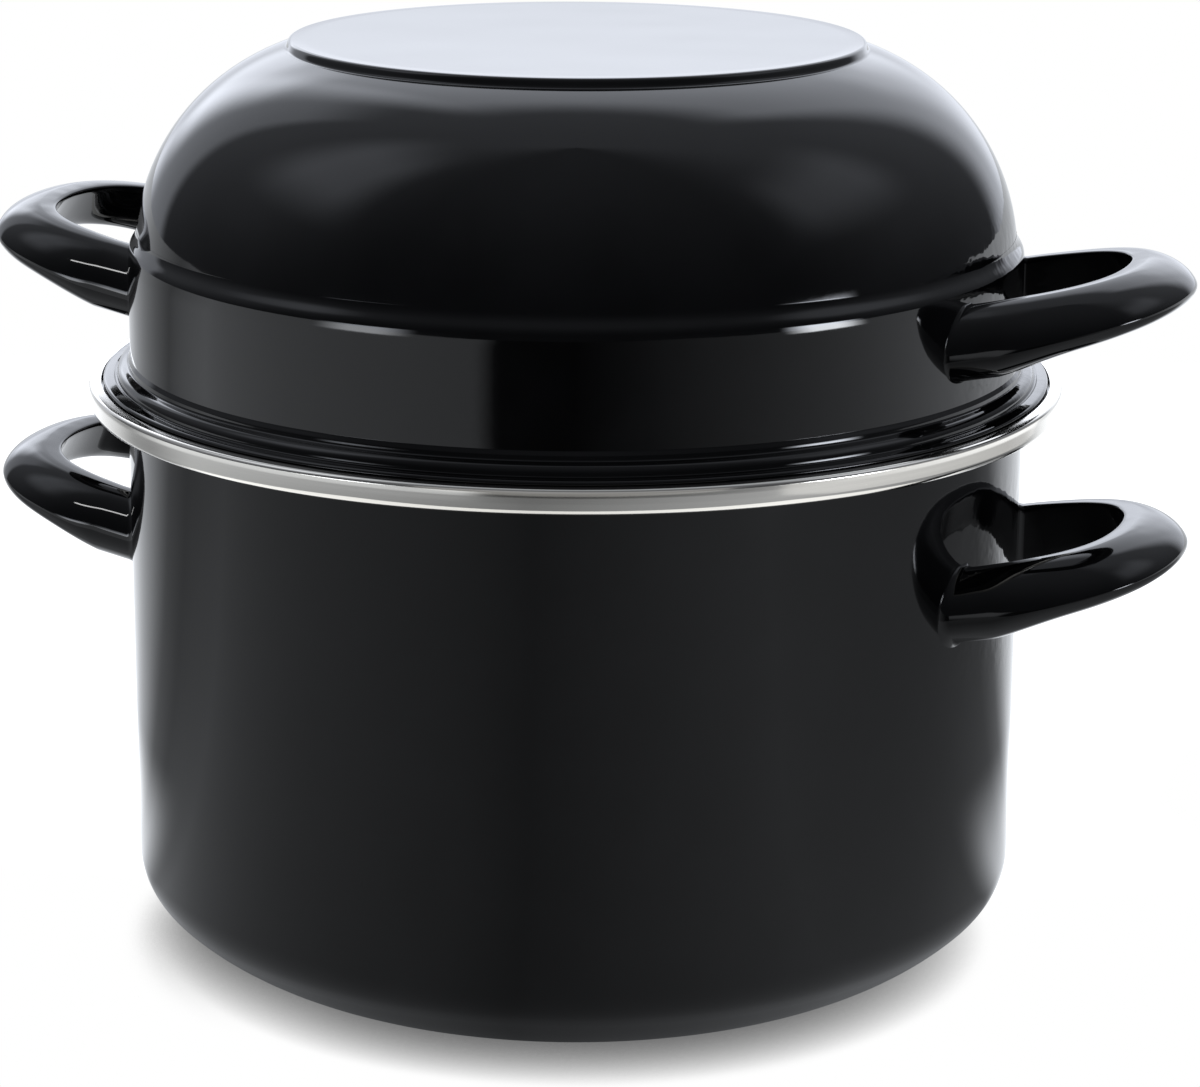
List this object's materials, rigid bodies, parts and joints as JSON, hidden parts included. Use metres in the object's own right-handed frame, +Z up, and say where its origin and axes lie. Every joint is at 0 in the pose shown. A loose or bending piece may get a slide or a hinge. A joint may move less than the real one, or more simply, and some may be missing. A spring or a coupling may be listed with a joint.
{
  "type": "enamelled mussel pot",
  "caption": "Deep round cooking pot of black enamelled steel with loop handles, a bright steel rim and a bowl-shaped lid that turns over into a dish.",
  "frame": {"origin": "centre of the pot's flat base, on the surface it stands on", "axes": "+Z up along the pot's axis, +X through the middle of the right-hand handles"},
  "size_m": [0.3352, 0.2624, 0.25],
  "materials": {
    "black_enamel": "mirror-gloss vitreous enamel",
    "stainless_band": "polished"
  },
  "bodies": {
    "pot": {"pot_body": "black_enamel", "pot_rim_band": "stainless_band", "pot_handle_left": "black_enamel", "pot_handle_right": "black_enamel"},
    "lid": {"lid_bowl": "black_enamel", "lid_handle_left": "black_enamel", "lid_handle_right": "black_enamel"}
  },
  "joints": [
    {"name": "lid_lift", "type": "slide", "parent": "pot", "child": "lid", "axis": [0, 0, 1], "range_m": [0, 0.15]}
  ]
}
